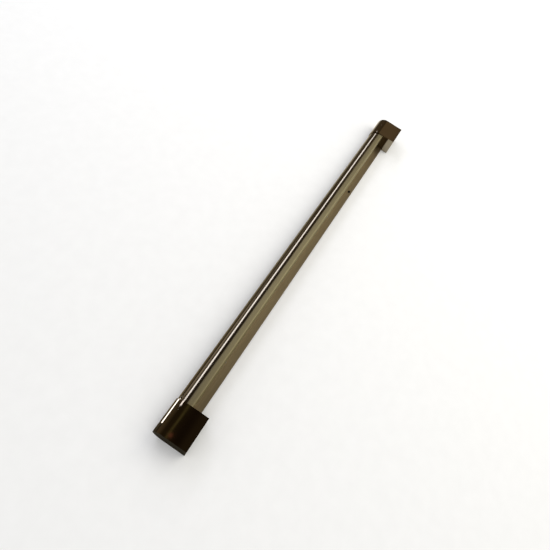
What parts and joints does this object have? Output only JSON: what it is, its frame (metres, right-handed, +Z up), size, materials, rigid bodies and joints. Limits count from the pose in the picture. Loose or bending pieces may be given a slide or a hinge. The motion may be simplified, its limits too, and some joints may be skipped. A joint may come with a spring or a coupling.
{
  "type": "infrared heat lamp warmer",
  "caption": "Slim infrared strip warmer: polished D-section bar with a downward quartz lamp, held between two dark polished end blocks that stand off a wall.",
  "frame": {"origin": "centre of the footprint, on the surface under the end blocks", "axes": "+X along the bar, towards the plain end block; +Y towards the wall, out of the mounting faces; +Z up, away from the heated side"},
  "size_m": [0.9176, 0.061, 0.039],
  "materials": {
    "block_chrome": "dark mirror polish",
    "bar_steel": "polished front, satin top",
    "rail_steel": "satin",
    "zinc_steel": "zinc plated",
    "reflector_aluminium": "bright polished",
    "quartz": "clear",
    "heating_wire": "oxidised wire",
    "ceramic": "matt",
    "brass": "satin",
    "black_plastic": "fine texture",
    "black_rubber": "matt",
    "lead_sleeve": "woven sleeve",
    "bright_wire": "bright",
    "dark_screw": "black oxide"
  },
  "bodies": {
    "fixture": {"bonding_screw": "dark_screw", "cover_screw_left_1": "dark_screw", "cover_screw_left_2": "dark_screw", "cover_screw_right_1": "dark_screw", "cover_screw_right_2": "dark_screw", "cutout_tag_left": "brass", "cutout_tag_right": "brass", "earth_screw": "brass", "end_cover_left": "block_chrome", "end_cover_right": "block_chrome", "guard_screw_1": "zinc_steel", "guard_screw_2": "zinc_steel", "heat_shield": "zinc_steel", "heating_coil": "heating_wire", "housing_rivet_1": "zinc_steel", "housing_rivet_2": "zinc_steel", "housing_rivet_3": "zinc_steel", "housing_rivet_4": "zinc_steel", "housing_shell": "bar_steel", "inlet_grommet": "black_rubber", "lamp_cap_left": "ceramic", "lamp_cap_right": "ceramic", "lamp_contact_left": "brass", "lamp_contact_right": "brass", "lamp_guard": "bright_wire", "lamp_pin_left": "zinc_steel", "lamp_pin_right": "zinc_steel", "lampholder_left": "ceramic", "lampholder_right": "ceramic", "lampholder_screw_1": "zinc_steel", "lampholder_screw_2": "zinc_steel", "lead_return_block": "lead_sleeve", "lead_return_lamp": "lead_sleeve", "lead_supply": "lead_sleeve", "lead_switched": "lead_sleeve", "quartz_tube": "quartz", "rear_rail": "rail_steel", "reflector": "reflector_aluminium", "reflector_end_left": "zinc_steel", "reflector_end_right": "zinc_steel", "switch_blade_lower": "brass", "switch_blade_upper": "brass", "switch_body": "black_plastic", "terminal_block": "ceramic", "terminal_screw_1": "brass", "terminal_screw_2": "brass", "terminal_screw_3": "brass", "thermal_cutout": "black_plastic", "tube_support_left": "bright_wire", "tube_support_right": "bright_wire", "wall_bracket_left": "zinc_steel", "wall_bracket_right": "zinc_steel"},
    "rocker": {"switch_rocker": "black_plastic"},
    "lever": {"switch_lever": "brass"}
  },
  "joints": [
    {"name": "rocker_tilt", "type": "hinge", "parent": "fixture", "child": "rocker", "pos_m": [-0.45521, 0.0075, 0.02], "axis": [0, -1, 0], "range_deg": [0, 20]},
    {"name": "lever_tilt", "type": "hinge", "parent": "fixture", "child": "lever", "pos_m": [-0.44821, 0.0075, 0.02], "axis": [0, -1, 0], "range_deg": [-16, 0]}
  ],
  "couplings": [
    {"joint": "lever_tilt", "follows": "rocker_tilt", "ratio": -0.8}
  ]
}
